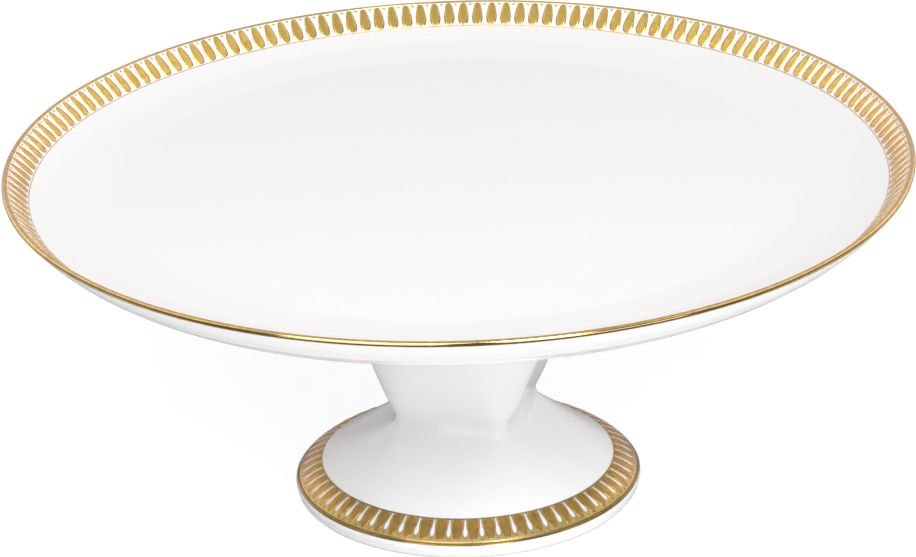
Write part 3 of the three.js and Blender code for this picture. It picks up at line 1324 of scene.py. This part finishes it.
@dataclass
class Studio:
    """Floor, soft lights, mirrored room and camera."""

    turn: float = 19.21  # degrees the camera stands round from the front
    elevation: float = 21.863
    distance: float = 9.5  # in plate radii
    pan: float = 0.053
    tilt: float = -1.640
    roll: float = -1.900
    lens: float = 169.98
    floor_size: float = 12.0
    bounce: float = 0.92  # how much light the floor gives back
    far_floor: float = 0.62  # how bright the floor mirrors behind the stand
    near_floor: float = 0.12  # and before it, from 0.1 m to 0.3 m towards the camera
    shown_tone: float = 0.35  # the floor's colour and glow as the camera sees it
    shown_glow: float = 0.78
    ambient: float = 0.42
    front_fill: float = 0.87
    fill_side: float = 45.0  # degrees to the camera's right
    box_level: float = 2.0  # brightness of the mirrored boxes
    box_bearings: tuple[tuple[float, float], ...] = ((-42.0, -7.0), (11.0, 28.0))
    boxes: tuple[SoftBox, ...] = (
        SoftBox("left_box", -25, 46, 1.0, 0.7, 7.2),
        SoftBox("right_box", 20, 44, 0.45, 0.7, 10.5),
        SoftBox("low_fill", 36, 13, 0.9, 0.35, 2.3),
    )

    def __post_init__(self) -> None:
        """Aim at the middle of the plate's rim."""
        _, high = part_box("plate")
        self.radius = high[0]
        self.aim = Vector((0, 0, high[2]))

    def camera(self) -> None:
        """Stand the camera at its place and make it the scene's own."""
        data = bpy.data.cameras.new("camera")
        data.lens = self.lens
        data.sensor_width = 36
        data.clip_end = 50
        camera = bpy.data.objects.new("camera", data)
        bpy.context.scene.collection.objects.link(camera)
        swing = Matrix.Rotation(math.radians(self.turn), 4, "Z")
        raise_up = Matrix.Rotation(math.radians(90 - self.elevation), 4, "X")
        back = Matrix.Translation((0, 0, self.distance * self.radius))
        trim = (
            Matrix.Rotation(math.radians(self.pan), 4, "Y")
            @ Matrix.Rotation(math.radians(self.tilt), 4, "X")
            @ Matrix.Rotation(math.radians(self.roll), 4, "Z")
        )
        camera.matrix_world = Matrix.Translation(self.aim) @ swing @ raise_up @ back @ trim
        bpy.context.scene.camera = camera
        LOG.info("camera: %s", [round(v, 3) for v in camera.matrix_world.translation])

    def floor(self) -> None:
        """Lay the plain pale floor, shown a little brighter than it lights the stand."""
        finish = bpy.data.materials.new("floor_pale")
        finish.use_nodes = True
        tree = finish.node_tree
        shader = tree.nodes["Principled BSDF"]
        shader.inputs["Roughness"].default_value = 0.9
        shader.inputs["Specular IOR Level"].default_value = 0.0
        shader.inputs["Emission Color"].default_value = linear("#FFFFFF")
        rays = node(tree, "ShaderNodeLightPath").outputs
        seen = rays["Is Camera Ray"]
        bearing = math.radians(self.turn - 90)
        nearness = node(tree, "ShaderNodeVectorMath", {
            0: node(tree, "ShaderNodeTexCoord").outputs["Object"],
            1: (math.cos(bearing), math.sin(bearing), 0.0),
        }, operation="DOT_PRODUCT").outputs["Value"]
        mirrored = node(tree, "ShaderNodeMapRange", {
            "Value": nearness, "From Min": 0.1, "From Max": 0.3,
            "To Min": self.far_floor, "To Max": self.near_floor,
        })
        bounced = node(tree, "ShaderNodeMapRange", {
            "Value": rays["Is Glossy Ray"], "To Min": self.bounce, "To Max": mirrored.outputs[0],
        })
        tone = node(tree, "ShaderNodeMapRange", {
            "Value": seen, "To Min": bounced.outputs[0], "To Max": self.shown_tone,
        })
        glow = node(tree, "ShaderNodeMapRange", {"Value": seen, "To Min": 0.0, "To Max": self.shown_glow})
        tree.links.new(tone.outputs[0], shader.inputs["Base Color"])
        tree.links.new(glow.outputs[0], shader.inputs["Emission Strength"])
        half = self.floor_size / 2
        corners = [(-half, -half, 0), (half, -half, 0), (half, half, 0), (-half, half, 0)]
        floor = mesh_object("floor", corners, [(0, 1, 2, 3)], finish)
        floor.data.transform(Matrix.Translation((0, 0, -0.02 * MM)))

    def sky(self) -> None:
        """Light the room: white behind the stand, dimmer overhead and dark behind the camera."""
        world = bpy.data.worlds.new("studio")
        bpy.context.scene.world = world
        world.use_nodes = True
        tree = world.node_tree
        shader = tree.nodes["Background"]
        seen = node(tree, "ShaderNodeTexCoord").outputs["Generated"]
        turned_view = node(tree, "ShaderNodeVectorRotate", {
            "Vector": seen, "Angle": math.radians(-self.turn),
        }, rotation_type="Z_AXIS")
        parts = node(tree, "ShaderNodeSeparateXYZ", {0: turned_view.outputs[0]}).outputs
        across = sum_of(tree, "ABSOLUTE", parts["X"])
        front = fade(tree, parts["Y"], -0.5, -0.15, 0.12, 1.0)
        above = fade(tree, parts["Z"], 0.1, 0.95, 1.0, 0.9)
        wings = fade(tree, across, 0.3, 0.6, 0.75, 1.3)
        sides = fade(tree, across, 0.78, 0.92, 1.0, 0.2)
        level = wings
        for part in (front, above, sides):
            level = sum_of(tree, "MULTIPLY", level, part)
        level = self.mirrored_boxes(tree, parts, level)
        side = math.radians(self.fill_side)
        towards = node(tree, "ShaderNodeVectorMath", {
            0: turned_view.outputs[0], 1: (-math.sin(side), math.cos(side), 0.0),
        }, operation="DOT_PRODUCT").outputs["Value"]
        fill = fade(tree, towards, -1.0, 0.4, self.front_fill, self.ambient)
        rays = node(tree, "ShaderNodeLightPath").outputs
        mirrored = node(tree, "ShaderNodeMix", {
            0: rays["Is Glossy Ray"], 2: fill, 3: level,
        }, data_type="FLOAT")
        shown = node(tree, "ShaderNodeMix", {
            0: rays["Is Camera Ray"], 2: mirrored.outputs[0], 3: 1.0,
        }, data_type="FLOAT")
        tree.links.new(shown.outputs[0], shader.inputs["Strength"])
        tint = node(tree, "ShaderNodeValToRGB", {"Fac": parts["Z"]})
        low, high = tint.color_ramp.elements
        low.position, low.color = 0.1, linear("#FFECEC")
        high.position, high.color = 0.9, linear("#F2FCE2")
        colour = node(tree, "ShaderNodeMix", {
            0: rays["Is Glossy Ray"], 6: linear("#FFFFFF"), 7: tint.outputs[0],
        }, data_type="RGBA")
        tree.links.new(colour.outputs[2], shader.inputs["Color"])

    def mirrored_boxes(self, tree: bpy.types.NodeTree, parts: bpy.types.NodeOutputs,
                       level: bpy.types.NodeSocket) -> bpy.types.NodeSocket:
        """Add the two tall soft boxes that show in the gold of the front lip.

        Args:
            tree: The world's node tree.
            parts: X, Y and Z of the direction seen, from the camera's side.
            level: Brightness of the mirrored room so far.

        Returns:
            Brightness with the boxes in it.
        """
        soft_edge = 0.06  # radians
        bearing = sum_of(tree, "ARCTAN2", parts["X"], sum_of(tree, "MULTIPLY", parts["Y"], -1.0))
        for left, right in self.box_bearings:
            centre, half = math.radians(left + right) / 2, math.radians(right - left) / 2
            distance = sum_of(tree, "ABSOLUTE", sum_of(tree, "SUBTRACT", bearing, centre))
            beside = node(tree, "ShaderNodeMapRange", {
                "Value": distance, "From Min": half, "From Max": half + soft_edge,
                "To Min": self.box_level, "To Max": 0.0,
            })
            over = node(tree, "ShaderNodeMapRange", {
                "Value": parts["Z"], "From Min": 0.85, "From Max": 0.95, "To Min": 1.0, "To Max": 0.0,
            })
            box = sum_of(tree, "MULTIPLY", beside.outputs[0], over.outputs[0])
            level = sum_of(tree, "MAXIMUM", level, box)
        return level

    def build(self) -> None:
        """Set up the whole studio."""
        self.camera()
        self.floor()
        self.sky()
        for box in self.boxes:
            box.hang(self.turn, self.aim * 0.6)
        bpy.context.scene.view_settings.view_transform = "Standard"


# ---- The stand ---------------------------------------------------------------------------------


def main() -> None:
    """Build the stand and its studio."""
    logging.basicConfig(level=logging.INFO, format="%(name)s %(message)s")
    Studio().build()
    palette = Palette()
    plate = Plate(palette)
    plate.dish()
    plate.gilded_lip()
    plate.edge_line()
    pedestal = Pedestal(palette)
    pedestal.body()
    pedestal.foot_gilding()
    plate_band(plate, palette).lay()
    foot_band(pedestal, palette).lay()
    Hardware(palette).build()


if __name__ == "__main__":
    main()
